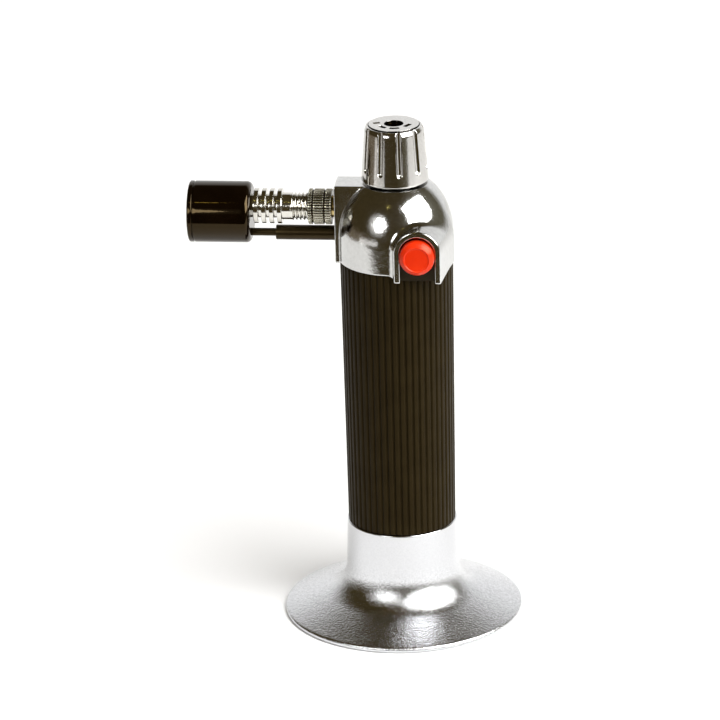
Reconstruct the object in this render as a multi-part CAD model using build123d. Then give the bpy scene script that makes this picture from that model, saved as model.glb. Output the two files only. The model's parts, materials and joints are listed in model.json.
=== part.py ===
from build123d import *
import os
from math import asin, atan2, cos, degrees, radians, sin, sqrt

os.makedirs("parts", exist_ok=True)

# A hand-held butane torch on a round stand. Millimetres, +Z up.
# The origin is on the surface it stands on, below the axis of the grip.
# The burner points along -X and the igniter button faces -Y.

# ---- driving dimensions ---------------------------------------------------
BASE_R = 35.5  # rim of the stand
BASE_BEAD_R = 0.85  # half of the rim's thickness
BASE_REST_R = 32.9  # inner radius of the ring that the stand rests on
FLARE_SLOPE = 20.0  # degrees, of the stand's cone
FLARE_FILLET = 10.0  # between the cone and the collar
COLLAR_R = 16.75  # collar at its foot
COLLAR_TOP_R = 16.3
COLLAR_BORE_R = 14.9
WEB_Z = 13.0  # underside of the web that carries the tank
WEB_T = 1.5
WEB_HOLE_R = 8.0

GRIP_Z0 = 29.2
GRIP_Z1 = 111.3
GRIP_R0 = 15.9  # over the ribs, at the bottom
GRIP_R1 = 16.55  # over the ribs, at the top
RIB_COUNT = 51
RIB_DEPTH = 0.55
RIB_PHASE = 9.0  # degrees from -Y to the middle of a rib
TANK_R = 14.0
TANK_WALL = 1.6
TANK_TOP_Z = 113.0

HEAD_R = 16.9
DOME_Z = 119.0  # where the dome starts
DOME_RISE = 19.5  # half height of the dome's ellipse
DOME_TOP_Z = 134.0  # where the dome meets the short neck below the knob
NECK_R = 9.9
HEAD_TOP_Z = 134.6
HEAD_WALL = 1.9
BLOCK_X = -17.5  # face that the burner leaves
BLOCK_INNER_X = -4.0  # where the block and the boss end, inside the head
BLOCK_HALF_Y = 5.0
BLOCK_Z0 = 110.8
BLOCK_Z1 = 134.4

BOSS_X = 7.75  # arch round the button
BOSS_FACE_Y = -18.5
BOSS_R = 6.9
BOSS_INNER_R = 5.2
BOSS_ARCH_Z = 118.65
BOSS_Z0 = 109.6
GUIDE_FACE_Y = -16.5
GUIDE_PLATE_Y = -12.3
GUIDE_BACK_Y = -10.9

BUTTON_Z = 117.8
BUTTON_R = 5.05
BUTTON_FACE_Y = -20.8
BUTTON_LEN = 3.9
PLUNGER_FACE_Y = -10.3
PIEZO_SIDE = 8.0
PIEZO_Y0 = -6.0
PIEZO_Y1 = 7.4

KNOB_Z0 = 135.25
KNOB_Z1 = 152.3
KNOB_R0 = 9.85
KNOB_R1 = 8.5
KNOB_FACE_R = 7.45
KNOB_HOLE_R = 2.8
FLUTE_COUNT = 10
FLUTE_R = 0.95
FLUTE_Z0 = 138.7
FLUTE_PHASE = 14.5  # degrees from -Y to the middle of a flute

SPINDLE_R = 2.2
SPINDLE_LOW_R = 2.0
SPINDLE_CLEARANCE = 0.05
VALVE_NECK_R = 4.0
NEEDLE_R = 1.95

BURNER_Z = 126.6
AIR_RING_R = 5.22
AIR_RING_NEAR = 18.45  # distances along the burner are measured from the grip's axis
AIR_RING_FAR = 25.25
KNURL_COUNT = 40
KNURL_DEPTH = 0.2
AIR_HOLE_AT = 19.05
AIR_HOLE_R = 0.5
AIR_HOLE_COUNT = 4
THREAD_R = 4.05
THREAD_PITCH = 1.1
THREAD_DEPTH = 0.6
THREAD_TURNS = 4
THREAD_AT = 26.1
PLAIN_R = 3.95
FIN_R = 5.15
FIN_CORE_R = 3.5
FIN_COUNT = 4
FIN_FIRST = 33.0
FIN_PITCH = 2.3
FIN_WIDTH = 1.3
BURNER_BORE_R = 2.3

GUARD_Z = 124.65
GUARD_R = 9.0
GUARD_NEAR = 42.05
GUARD_FAR = 60.35
GUARD_WALL = 1.1
GUARD_BACK = 1.6

ELECTRODE_Z = 118.5
ELECTRODE_SLEEVE_R = 2.2
ELECTRODE_SLEEVE_END = 35.1
ELECTRODE_R = 1.15


# ---- helpers --------------------------------------------------------------
def turned(*outline):
    """Solid turned about Z from (radius, height) points."""
    wire = Polyline(*[(r, 0, z) for r, z in outline], close=True)
    return revolve(make_face(wire), Axis.Z)


def tube(r_in, r_out, z0, z1):
    return turned((r_in, z0), (r_out, z0), (r_out, z1), (r_in, z1))


def rod(r, z0, z1):
    return Pos(0, 0, z0) * Cylinder(r, z1 - z0, align=(Align.CENTER, Align.CENTER, Align.MIN))


def block(x0, x1, y0, y1, z0, z1):
    low = (Align.MIN, Align.MIN, Align.MIN)
    return Pos(x0, y0, z0) * Box(x1 - x0, y1 - y0, z1 - z0, align=low)


def on_burner(shape, z=BURNER_Z):
    """Put a shape made about Z on a nozzle axis, so that its height becomes distance along -X."""
    return Pos(0, 0, z) * Rot(0, -90, 0) * shape


def facing_front(shape, x, z):
    """Put a shape made about Z on an axis parallel to Y, so that its height becomes y."""
    return Pos(x, 0, z) * Rot(-90, 0, 0) * shape


def around(shape, count, phase=0.0):
    """Copies of a shape, evenly spaced about Z. Phase 0 faces -Y for a shape made facing +X."""
    step = 360.0 / count
    return [Rot(0, 0, phase - 90 + step * i) * shape for i in range(count)]


def o_ring(centre_r, section_r, z):
    return Pos(0, 0, z) * Torus(centre_r, section_r)


def helix_spring(mean_r, wire_r, z0, z1, turns):
    """Round-wire compression spring about Z, between two heights."""
    path = Helix((z1 - z0 - 2 * wire_r) / turns, z1 - z0 - 2 * wire_r, mean_r, center=(0, 0, z0 + wire_r))
    section = Plane(origin=path @ 0, z_dir=path % 0) * Circle(wire_r)
    return sweep(section, path, is_frenet=True)


def save(name, shape):
    solids = shape.solids()
    whole = solids[0] if len(solids) == 1 else Compound(children=list(solids))
    export_step(whole, f"parts/{name}.step")


# ---- stand, grip and tank ---------------------------------------------------
def base_stand():
    """Flared stand: rounded rim, shallow cone, fillet and collar, hollow below and with a web inside."""
    bead_mid = BASE_R - BASE_BEAD_R
    fillet_x = COLLAR_R + FLARE_FILLET
    fillet_z = WEB_Z + 2.0
    slope = radians(FLARE_SLOPE)
    wall = 1.5

    def cone_z(r, drop):
        touch_r = fillet_x - (FLARE_FILLET + drop) * sin(slope)
        touch_z = fillet_z - (FLARE_FILLET + drop) * cos(slope)
        return touch_z - (r - touch_r) * sin(slope) / cos(slope)

    def fillet_arc(drop):
        r = FLARE_FILLET + drop
        low = (fillet_x - r * sin(slope), 0, fillet_z - r * cos(slope))
        turn = radians(90 + FLARE_SLOPE) / 2
        mid = (fillet_x - r * sin(turn), 0, fillet_z - r * cos(turn))
        return ThreePointArc(low, mid, (fillet_x - r, 0, fillet_z))

    outer_foot_r = bead_mid - BASE_BEAD_R * sin(slope)
    bead = [
        Line((BASE_REST_R, 0, 0), (bead_mid, 0, 0)),
        ThreePointArc((bead_mid, 0, 0), (BASE_R, 0, BASE_BEAD_R), (bead_mid, 0, 2 * BASE_BEAD_R)),
        Line((bead_mid, 0, 2 * BASE_BEAD_R), (outer_foot_r, 0, cone_z(outer_foot_r, 0))),
    ]
    outer_arc = fillet_arc(0)
    outer = [
        Line((outer_foot_r, 0, cone_z(outer_foot_r, 0)), outer_arc @ 0),
        outer_arc,
        Line(outer_arc @ 1, (COLLAR_TOP_R, 0, GRIP_Z0)),
        Line((COLLAR_TOP_R, 0, GRIP_Z0), (COLLAR_BORE_R, 0, GRIP_Z0)),
        Line((COLLAR_BORE_R, 0, GRIP_Z0), (COLLAR_BORE_R, 0, WEB_Z + WEB_T)),
        Line((COLLAR_BORE_R, 0, WEB_Z + WEB_T), (WEB_HOLE_R, 0, WEB_Z + WEB_T)),
        Line((WEB_HOLE_R, 0, WEB_Z + WEB_T), (WEB_HOLE_R, 0, WEB_Z)),
    ]
    inner_r = FLARE_FILLET + wall
    inner_web_r = fillet_x - sqrt(inner_r**2 - (fillet_z - WEB_Z) ** 2)
    low = (fillet_x - inner_r * sin(slope), 0, fillet_z - inner_r * cos(slope))
    turn = (asin((fillet_x - inner_web_r) / inner_r) + slope) / 2
    mid = (fillet_x - inner_r * sin(turn), 0, fillet_z - inner_r * cos(turn))
    inner = [
        Line((WEB_HOLE_R, 0, WEB_Z), (inner_web_r, 0, WEB_Z)),
        ThreePointArc((inner_web_r, 0, WEB_Z), mid, low),
        Line(low, (BASE_REST_R, 0, cone_z(BASE_REST_R, wall))),
        Line((BASE_REST_R, 0, cone_z(BASE_REST_R, wall)), (BASE_REST_R, 0, 0)),
    ]
    return revolve(make_face(Wire(bead + outer + inner)), Axis.Z)


def grip_sleeve():
    """Tapered sleeve with rounded ribs all round."""
    sleeve = turned((TANK_R, GRIP_Z0), (GRIP_R0, GRIP_Z0), (GRIP_R1, GRIP_Z1), (TANK_R, GRIP_Z1))
    lean = degrees(atan2(GRIP_R1 - GRIP_R0, GRIP_Z1 - GRIP_Z0))
    overrun = 2.0
    side = RIB_DEPTH * sqrt(2)
    groove = Rot(0, 0, 45) * Box(side, side, GRIP_Z1 - GRIP_Z0 + 2 * overrun)
    middle_r = (GRIP_R0 + GRIP_R1) / 2
    groove = Pos(middle_r, 0, (GRIP_Z0 + GRIP_Z1) / 2) * Rot(0, lean, 0) * groove
    return sleeve - around(groove, RIB_COUNT, RIB_PHASE + 180.0 / RIB_COUNT)


TANK_FOOT_Z = WEB_Z + WEB_T + 4.0
TANK_ROOF_T = 3.0
VALVE_THREAD_R = 3.3
VALVE_FOOT_Z = 104.0
SEAL_SECTION_R = 0.7


def fuel_tank():
    """Tank with a closed top and a threaded boss for the gas valve."""
    bore = TANK_R - TANK_WALL
    roof_z = TANK_TOP_Z - TANK_ROOF_T
    boss_r = 6.5
    outline = (
        (bore, TANK_FOOT_Z),
        (TANK_R, TANK_FOOT_Z),
        (TANK_R, TANK_TOP_Z),
        (VALVE_THREAD_R + 2 * SEAL_SECTION_R, TANK_TOP_Z),
        (VALVE_THREAD_R + 2 * SEAL_SECTION_R, TANK_TOP_Z - 2 * SEAL_SECTION_R),
        (VALVE_THREAD_R, TANK_TOP_Z - 2 * SEAL_SECTION_R),
        (VALVE_THREAD_R, VALVE_FOOT_Z),
        (boss_r, VALVE_FOOT_Z),
        (boss_r, roof_z),
        (bore, roof_z),
    )
    return turned(*outline)


FILL_R = 3.5
FILL_FLANGE_R = 5.0
FILL_BORE_R = 2.6
FILL_STEM_R = 1.3
CAP_FOOT_Z = WEB_Z + WEB_T
CAP_TOP_Z = 24.5
CAP_GROOVE_Z = 21.0


def tank_bottom_cap():
    """Cap pushed into the tank's open end, standing on the stand's web."""
    bore = TANK_R - TANK_WALL
    groove_r = bore - 1.2
    outline = (
        (FILL_R, CAP_FOOT_Z),
        (COLLAR_BORE_R, CAP_FOOT_Z),
        (COLLAR_BORE_R, TANK_FOOT_Z),
        (bore, TANK_FOOT_Z),
        (bore, CAP_GROOVE_Z - 0.7),
        (groove_r, CAP_GROOVE_Z - 0.7),
        (groove_r, CAP_GROOVE_Z + 0.7),
        (bore, CAP_GROOVE_Z + 0.7),
        (bore, CAP_TOP_Z),
        (FILL_R, CAP_TOP_Z),
    )
    return turned(*outline)


def fill_valve_body():
    """Filling valve: flange below, stepped bore for the stem and its spring, closed top with a gas hole."""
    hole_r = FILL_STEM_R + 0.1
    outline = (
        (hole_r, WEB_Z - 1.0),
        (FILL_FLANGE_R, WEB_Z - 1.0),
        (FILL_FLANGE_R, CAP_FOOT_Z - 0.8),
        (FILL_R, CAP_FOOT_Z - 0.8),
        (FILL_R, CAP_TOP_Z + 1.5),
        (0.6, CAP_TOP_Z + 1.5),
        (0.6, CAP_TOP_Z + 0.5),
        (FILL_BORE_R, CAP_TOP_Z + 0.5),
        (FILL_BORE_R, CAP_FOOT_Z + 0.5),
        (hole_r, CAP_FOOT_Z + 0.5),
    )
    return turned(*outline)


FILL_STEM_FLANGE_Z = CAP_FOOT_Z + 0.5


def fill_valve_stem():
    """Stem that the refill nozzle pushes up: a rod with a flange that closes the valve."""
    flange_r = FILL_BORE_R - 0.3
    return turned(
        (0.0, WEB_Z - 2.6),
        (FILL_STEM_R, WEB_Z - 2.6),
        (FILL_STEM_R, FILL_STEM_FLANGE_Z),
        (flange_r, FILL_STEM_FLANGE_Z),
        (flange_r, FILL_STEM_FLANGE_Z + 1.4),
        (1.1, FILL_STEM_FLANGE_Z + 1.4),
        (1.1, FILL_STEM_FLANGE_Z + 4.0),
        (0.0, FILL_STEM_FLANGE_Z + 4.0),
    )


def fill_valve_spring():
    return helix_spring(1.8, 0.25, FILL_STEM_FLANGE_Z + 1.4, CAP_TOP_Z + 0.5, 7)


def fill_valve_seal():
    """Flat gasket between the filling valve's flange and the cap."""
    return tube(FILL_R, FILL_FLANGE_R, CAP_FOOT_Z - 0.8, CAP_FOOT_Z)


def tank_seal():
    bore = TANK_R - TANK_WALL
    return o_ring(bore - 0.6, 0.6, CAP_GROOVE_Z)


def dip_tube():
    """Thin plastic pipe from the gas valve down into the tank."""
    return tube(0.8, 1.3, 40.0, VALVE_FOOT_Z + 2.0)


def gas_filter():
    """Porous filter on the foot of the dip tube."""
    return turned((1.3, 38.0), (2.6, 38.0), (2.6, 46.0), (1.3, 46.0)) + rod(2.6, 36.5, 38.0)


# ---- gas valve ----------------------------------------------------------------
BORE_FLOOR_Z = 123.4
BLOCK_FOOT_Z = 122.4
BLOCK_TOP_Z = 132.2
NECK_TOP_Z = 138.0
COLLAR_Z0 = 136.4
COLLAR_Z1 = 137.4
SPINDLE_COLLAR_R = 2.95
VALVE_BLOCK_R = 5.0
VALVE_BORE_R = SPINDLE_LOW_R + SPINDLE_CLEARANCE
JET_THREAD_R = 2.6


def valve_body():
    """Brass body from the tank to the knob, with a side port for the jet holder."""
    outline = (
        (0.7, VALVE_FOOT_Z + 2.0),
        (1.3, VALVE_FOOT_Z + 2.0),
        (1.3, VALVE_FOOT_Z),
        (VALVE_THREAD_R, VALVE_FOOT_Z),
        (VALVE_THREAD_R, BLOCK_FOOT_Z),
        (VALVE_BLOCK_R, BLOCK_FOOT_Z),
        (VALVE_BLOCK_R, BLOCK_TOP_Z),
        (VALVE_NECK_R, BLOCK_TOP_Z),
        (VALVE_NECK_R, NECK_TOP_Z),
        (SPINDLE_COLLAR_R + 0.08, NECK_TOP_Z),
        (SPINDLE_COLLAR_R + 0.08, COLLAR_Z0),
        (VALVE_BORE_R, COLLAR_Z0),
        (VALVE_BORE_R, BORE_FLOOR_Z),
        (0.7, BORE_FLOOR_Z),
    )
    port = on_burner(rod(JET_THREAD_R, VALVE_BORE_R + 0.7, VALVE_BLOCK_R + 1.0))
    passage = on_burner(rod(0.8, 0.0, VALVE_BLOCK_R))
    return turned(*outline) - port - passage


def valve_body_seal():
    """O-ring in the tank's roof, round the valve body."""
    return o_ring(VALVE_THREAD_R + SEAL_SECTION_R, SEAL_SECTION_R, TANK_TOP_Z - SEAL_SECTION_R)


NEEDLE_FOOT_Z = BORE_FLOOR_Z + 0.05
NEEDLE_WAIST_Z = 127.9
NEEDLE_TOP_Z = 131.2
SPINDLE_TIP_R = 1.15
SPINDLE_TIP_Z = NEEDLE_WAIST_Z + 0.9


def valve_needle():
    """Needle that doesn't turn: sleeve on the spindle's tip, waist by the port and cone on the seat."""
    return turned(
        (0.0, NEEDLE_FOOT_Z),
        (0.9, NEEDLE_FOOT_Z),
        (1.35, NEEDLE_FOOT_Z + 0.9),
        (1.35, NEEDLE_WAIST_Z - 0.6),
        (NEEDLE_R, NEEDLE_WAIST_Z - 0.6),
        (NEEDLE_R, NEEDLE_TOP_Z),
        (SPINDLE_TIP_R + 0.07, NEEDLE_TOP_Z),
        (SPINDLE_TIP_R + 0.07, NEEDLE_WAIST_Z),
        (0.0, NEEDLE_WAIST_Z),
    )


SPINDLE_SEAL_Z = 134.4
SPINDLE_TOP_Z = 150.9


def valve_spindle():
    """Turned brass spindle that the knob is pressed on; its slotted end shows in the knob's hole."""
    body = turned(
        (0.0, SPINDLE_TIP_Z),
        (SPINDLE_TIP_R, SPINDLE_TIP_Z),
        (SPINDLE_TIP_R, NEEDLE_TOP_Z + 0.9),
        (SPINDLE_LOW_R, NEEDLE_TOP_Z + 0.9),
        (SPINDLE_LOW_R, SPINDLE_SEAL_Z - 0.45),
        (SPINDLE_LOW_R - 0.7, SPINDLE_SEAL_Z - 0.45),
        (SPINDLE_LOW_R - 0.7, SPINDLE_SEAL_Z + 0.45),
        (SPINDLE_LOW_R, SPINDLE_SEAL_Z + 0.45),
        (SPINDLE_LOW_R, COLLAR_Z0 + 0.1),
        (SPINDLE_COLLAR_R, COLLAR_Z0 + 0.1),
        (SPINDLE_COLLAR_R, COLLAR_Z1),
        (SPINDLE_R, COLLAR_Z1),
        (SPINDLE_R, SPINDLE_TOP_Z - 0.4),
        (SPINDLE_R - 0.4, SPINDLE_TOP_Z),
        (0.0, SPINDLE_TOP_Z),
    )
    slot = block(-SPINDLE_R, SPINDLE_R, -0.4, 0.4, SPINDLE_TOP_Z - 0.9, SPINDLE_TOP_Z + 0.1)
    return body - Rot(0, 0, 35) * slot


def spindle_seal():
    return o_ring(SPINDLE_LOW_R - 0.35, 0.35, SPINDLE_SEAL_Z)


WASHER_T = 0.5
NUT_Z0 = HEAD_TOP_Z + WASHER_T
NUT_Z1 = 139.0


def head_washer():
    return tube(VALVE_NECK_R, 6.4, HEAD_TOP_Z, NUT_Z0)


def gland_nut():
    """Cap nut on the valve's neck: it clamps the head housing and keeps the spindle in."""
    hexagon = Pos(0, 0, NUT_Z0) * extrude(RegularPolygon(5.0, 6, major_radius=False), NUT_Z1 - NUT_Z0)
    return hexagon - rod(VALVE_NECK_R, NUT_Z0, NECK_TOP_Z) - rod(SPINDLE_R + 0.09, NECK_TOP_Z, NUT_Z1)


def gas_knob():
    """Tapered knob with a bevelled top, round-bottomed flutes and a hollow for the gland nut."""
    bevel = 1.0
    body = turned(
        (0.0, KNOB_Z0),
        (KNOB_R0 - 0.25, KNOB_Z0),
        (KNOB_R0, KNOB_Z0 + 0.25),
        (KNOB_R1, KNOB_Z1 - bevel),
        (KNOB_FACE_R, KNOB_Z1),
        (0.0, KNOB_Z1),
    )
    recess = rod(7.0, KNOB_Z0, NUT_Z1 + 0.6)
    bore = rod(SPINDLE_R, NUT_Z1 + 0.6, SPINDLE_TOP_Z - 1.2)
    mouth = rod(KNOB_HOLE_R, SPINDLE_TOP_Z - 1.2, KNOB_Z1)
    lean = degrees(atan2(KNOB_R1 - KNOB_R0, KNOB_Z1 - KNOB_Z0))
    length = KNOB_Z1 - FLUTE_Z0
    flute = rod(FLUTE_R, 0.0, length + 2.0) + Sphere(FLUTE_R)
    flute_r = KNOB_R0 - (KNOB_R0 - KNOB_R1) * (FLUTE_Z0 + FLUTE_R - KNOB_Z0) / (KNOB_Z1 - KNOB_Z0) + 0.25
    flute = Pos(flute_r, 0, FLUTE_Z0 + FLUTE_R) * Rot(0, lean, 0) * flute
    return body - recess - bore - mouth - around(flute, FLUTE_COUNT, FLUTE_PHASE)


# ---- head ---------------------------------------------------------------------
def dome_r(z, shrink=0.0):
    """Radius of the dome at a height, for the outside or for a surface inside it."""
    rise = max(z - DOME_Z, 0.0) / (DOME_RISE - shrink)
    return (HEAD_R - shrink) * sqrt(1.0 - rise * rise)


def dome_outline(shrink, z0, z1):
    """Closed outline of a cylinder topped by an elliptic dome that is cut off flat at z1."""
    rise = DOME_RISE - shrink
    wide = HEAD_R - shrink
    steps = 8
    heights = [DOME_Z + (z1 - DOME_Z) * i / steps for i in range(1, steps + 1)]
    curve = Spline(
        [(wide, 0, DOME_Z)] + [(dome_r(z, shrink), 0, z) for z in heights],
        tangents=[(0, 0, 1), (-dome_slope(z1, wide, rise), 0, 1)],
    )
    return Wire([
        Line((0, 0, z0), (wide, 0, z0)),
        Line((wide, 0, z0), (wide, 0, DOME_Z)),
        curve,
        Line(curve @ 1, (0, 0, z1)),
        Line((0, 0, z1), (0, 0, z0)),
    ])


def dome_slope(z, wide, rise):
    """How fast the dome's radius shrinks with height."""
    h = (z - DOME_Z) / rise
    return wide * h / (rise * sqrt(1.0 - h * h))


def arch(x, r, z0, z_arch, y0, y1):
    """Upright slab with a round top, between two y values."""
    slab = block(x - r, x + r, y0, y1, z0, z_arch)
    return slab + facing_front(rod(r, y0, y1), x, z_arch)


def head_housing():
    """Chrome head: cylinder, dome and neck, nozzle block, button boss, hollow inside."""
    shell = revolve(make_face(dome_outline(0.0, GRIP_Z1, DOME_TOP_Z)), Axis.Z)
    shell = shell + rod(NECK_R, DOME_TOP_Z - 1.0, HEAD_TOP_Z)
    nozzle_block = block(BLOCK_X, BLOCK_INNER_X, -BLOCK_HALF_Y, BLOCK_HALF_Y, BLOCK_Z0, BLOCK_Z1)
    nozzle_block = fillet(nozzle_block.edges().filter_by(Axis.Z).sort_by(Axis.X)[:2], 0.6)
    boss = arch(BOSS_X, BOSS_R, BOSS_Z0, BOSS_ARCH_Z, BOSS_FACE_Y, BLOCK_INNER_X)
    boss = fillet(boss.faces().sort_by(Axis.Y)[0].edges().filter_by(GeomType.CIRCLE), 0.5)
    whole = shell + nozzle_block + boss
    cavity = revolve(make_face(dome_outline(HEAD_WALL, GRIP_Z1 + 2.0, HEAD_TOP_Z - 2.2)), Axis.Z)
    whole = whole - cavity - rod(TANK_R, BOSS_Z0 - 1.0, TANK_TOP_Z + 0.4)
    whole = whole - rod(GRIP_R1, BOSS_Z0 - 1.0, GRIP_Z1)
    whole = whole - arch(BOSS_X, BOSS_INNER_R, BOSS_Z0 - 1.0, BOSS_ARCH_Z, BOSS_FACE_Y - 1.0, -8.0)
    whole = whole - rod(VALVE_NECK_R, HEAD_TOP_Z - 4.0, HEAD_TOP_Z + 1.0)
    whole = whole - on_burner(rod(JET_SHOULDER_R + 0.1, 8.0, -BLOCK_X + 1.0))
    return whole - on_burner(rod(ELECTRODE_SLEEVE_R, 8.0, -BLOCK_X + 1.0), ELECTRODE_Z)


def button_guide():
    """Black guide that fills the arch round the button and carries the plate behind it."""
    foot = BOSS_Z0 + 0.3
    front = arch(BOSS_X, BOSS_INNER_R, foot, BOSS_ARCH_Z, GUIDE_FACE_Y, GUIDE_PLATE_Y)
    front = front - facing_front(rod(BUTTON_R + 0.2, GUIDE_FACE_Y - 1, GUIDE_PLATE_Y), BOSS_X, BUTTON_Z)
    plate = arch(BOSS_X, BOSS_INNER_R, foot, BOSS_ARCH_Z, GUIDE_PLATE_Y, GUIDE_BACK_Y)
    plate = plate - facing_front(rod(3.0, GUIDE_PLATE_Y - 1, GUIDE_BACK_Y + 1), BOSS_X, BUTTON_Z)
    guide = front + plate - rod(GRIP_R1, foot - 1.0, GRIP_Z1 + 0.05)
    return guide - rod(TANK_R, foot, TANK_TOP_Z + 0.1)


# ---- igniter ----------------------------------------------------------------------
def igniter_button():
    """Round push button with a rounded face, a shallow dish and a stem behind it."""
    cap_end = BUTTON_FACE_Y + BUTTON_LEN
    cap = rod(BUTTON_R, BUTTON_FACE_Y, cap_end)
    cap = fillet(cap.edges().sort_by(Axis.Z)[0], 0.9)
    dish = rod(BUTTON_R - 1.5, BUTTON_FACE_Y, BUTTON_FACE_Y + 0.15)
    stem = rod(2.5, cap_end, PLUNGER_FACE_Y)
    return facing_front(cap - dish + stem, BOSS_X, BUTTON_Z)


PLUNGER_HALF = 3.0
PLUNGER_END_Y = -0.3
CRYSTAL_R = 1.9
CRYSTAL_FACE_Y = 2.2


def piezo_case():
    """Square case, open at the front, that holds the plunger, spring and crystal."""
    half = PIEZO_SIDE / 2
    bore = PLUNGER_HALF + 0.2
    shell = block(BOSS_X - half, BOSS_X + half, PIEZO_Y0, PIEZO_Y1, BUTTON_Z - half, BUTTON_Z + half)
    hollow = block(BOSS_X - bore, BOSS_X + bore, PIEZO_Y0, PIEZO_Y1 - 1.2, BUTTON_Z - bore, BUTTON_Z + bore)
    return shell - hollow


def piezo_plunger():
    """Square plunger with a bore for the spring."""
    x0, x1 = BOSS_X - PLUNGER_HALF, BOSS_X + PLUNGER_HALF
    z0, z1 = BUTTON_Z - PLUNGER_HALF, BUTTON_Z + PLUNGER_HALF
    body = block(x0, x1, PLUNGER_FACE_Y, PLUNGER_END_Y, z0, z1)
    return body - facing_front(rod(2.3, PLUNGER_FACE_Y + 2.5, PLUNGER_END_Y), BOSS_X, BUTTON_Z)


def piezo_spring():
    spring = helix_spring(1.6, 0.25, PLUNGER_FACE_Y + 2.5, CRYSTAL_FACE_Y, 9)
    return facing_front(spring, BOSS_X, BUTTON_Z)


def piezo_crystal():
    return facing_front(rod(CRYSTAL_R, CRYSTAL_FACE_Y, PIEZO_Y1 - 1.2), BOSS_X, BUTTON_Z)


LEAD_R = 0.55
SLEEVE_INNER_END = 11.5


def ignition_lead():
    """Wire from the back of the piezo case, round the valve body, to the electrode."""
    route = (
        (BOSS_X - PIEZO_SIDE / 2, 6.6, ELECTRODE_Z),
        (-1.5, 6.6, ELECTRODE_Z),
        (-6.5, 3.6, ELECTRODE_Z),
        (-SLEEVE_INNER_END, 0.0, ELECTRODE_Z),
    )
    path = FilletPolyline(*route, radius=[3.0, 3.0])
    return sweep(Plane(origin=path @ 0, z_dir=path % 0) * Circle(LEAD_R), path)


def electrode_sleeve():
    sleeve = tube(ELECTRODE_R, ELECTRODE_SLEEVE_R, SLEEVE_INNER_END, ELECTRODE_SLEEVE_END)
    return on_burner(sleeve, ELECTRODE_Z)


INSULATOR_END = 48.5
WIRE_R = 0.5


def electrode_insulator():
    return on_burner(tube(WIRE_R, ELECTRODE_R, SLEEVE_INNER_END + 1.0, INSULATOR_END), ELECTRODE_Z)


def electrode_wire():
    """Bare wire that leaves the insulator and bends up towards the burner's tip."""
    route = (
        (-SLEEVE_INNER_END - 1.0, 0, ELECTRODE_Z),
        (-INSULATOR_END - 3.5, 0, ELECTRODE_Z),
        (-INSULATOR_END - 5.5, 0, ELECTRODE_Z + 3.4),
    )
    path = FilletPolyline(*route, radius=1.5)
    return sweep(Plane(origin=path @ 0, z_dir=path % 0) * Circle(WIRE_R), path)


# ---- burner -----------------------------------------------------------------------
JET_SHOULDER_R = 3.15
JET_BORE_R = 0.8
JET_SEAT_R = 1.2
JET_SEAT_AT = 16.5
JET_TIP_AT = 18.8
JET_HOLDER_END = 25.0
SOCKET_AT = 22.7  # where the burner tube starts, past the air ring's shoulder and its travel
TIP_AT = GUARD_NEAR + 4.0  # where the burner tube ends and the flame holder starts


def jet_holder():
    """Brass nipple from the valve body into the burner tube, with air holes round it past the jet."""
    outline = (
        (JET_BORE_R, VALVE_BORE_R + 0.7),
        (JET_THREAD_R, VALVE_BORE_R + 0.7),
        (JET_THREAD_R, VALVE_BLOCK_R),
        (JET_SHOULDER_R, VALVE_BLOCK_R + 0.3),
        (JET_SHOULDER_R, JET_HOLDER_END),
        (BURNER_BORE_R, JET_HOLDER_END),
        (BURNER_BORE_R, JET_SEAT_AT + 2.0),
        (JET_SEAT_R, JET_SEAT_AT + 2.0),
        (JET_SEAT_R, JET_SEAT_AT),
        (JET_BORE_R, JET_SEAT_AT),
    )
    hole = Pos(0, 0, AIR_HOLE_AT) * Rot(0, 90, 0) * rod(AIR_HOLE_R, 0.0, JET_SHOULDER_R + 1.0)
    return on_burner(turned(*outline) - around(hole, AIR_HOLE_COUNT, 45.0))


def gas_jet():
    """Fine jet pushed into its seat in the nipple."""
    outline = (
        (0.1, JET_SEAT_AT),
        (JET_SEAT_R, JET_SEAT_AT),
        (JET_SEAT_R, JET_SEAT_AT + 1.7),
        (0.8, JET_TIP_AT),
        (0.1, JET_TIP_AT),
    )
    return on_burner(turned(*outline))


def burner_tube():
    """Plated tube: socket on the nipple, thread, plain collar, cooling fins and an end in the guard."""
    outline = [
        (BURNER_BORE_R, JET_HOLDER_END),
        (JET_SHOULDER_R, JET_HOLDER_END),
        (JET_SHOULDER_R, SOCKET_AT),
        (THREAD_R, SOCKET_AT),
        (THREAD_R, THREAD_AT),
    ]
    for turn in range(THREAD_TURNS):
        start = THREAD_AT + turn * THREAD_PITCH
        outline += [
            (THREAD_R - THREAD_DEPTH, start + 0.35 * THREAD_PITCH),
            (THREAD_R, start + 0.7 * THREAD_PITCH),
            (THREAD_R, start + THREAD_PITCH),
        ]
    thread_end = THREAD_AT + THREAD_TURNS * THREAD_PITCH
    outline += [(PLAIN_R, thread_end), (PLAIN_R, FIN_FIRST)]
    for i in range(FIN_COUNT):
        near = FIN_FIRST + i * FIN_PITCH
        far = near + FIN_WIDTH
        core_end = near + FIN_PITCH if i < FIN_COUNT - 1 else TIP_AT
        outline += [(FIN_R, near), (FIN_R, far), (FIN_CORE_R, far), (FIN_CORE_R, core_end)]
    outline += [(BURNER_BORE_R, TIP_AT)]
    return on_burner(turned(*outline))


RING_BORE_R = JET_SHOULDER_R + 0.3
RING_SEAL_AT = 20.65
RING_SEAL_R = 0.38
RING_THREAD_AT = 21.3
RING_GROOVES_AT = (20.5, 23.9)


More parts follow.
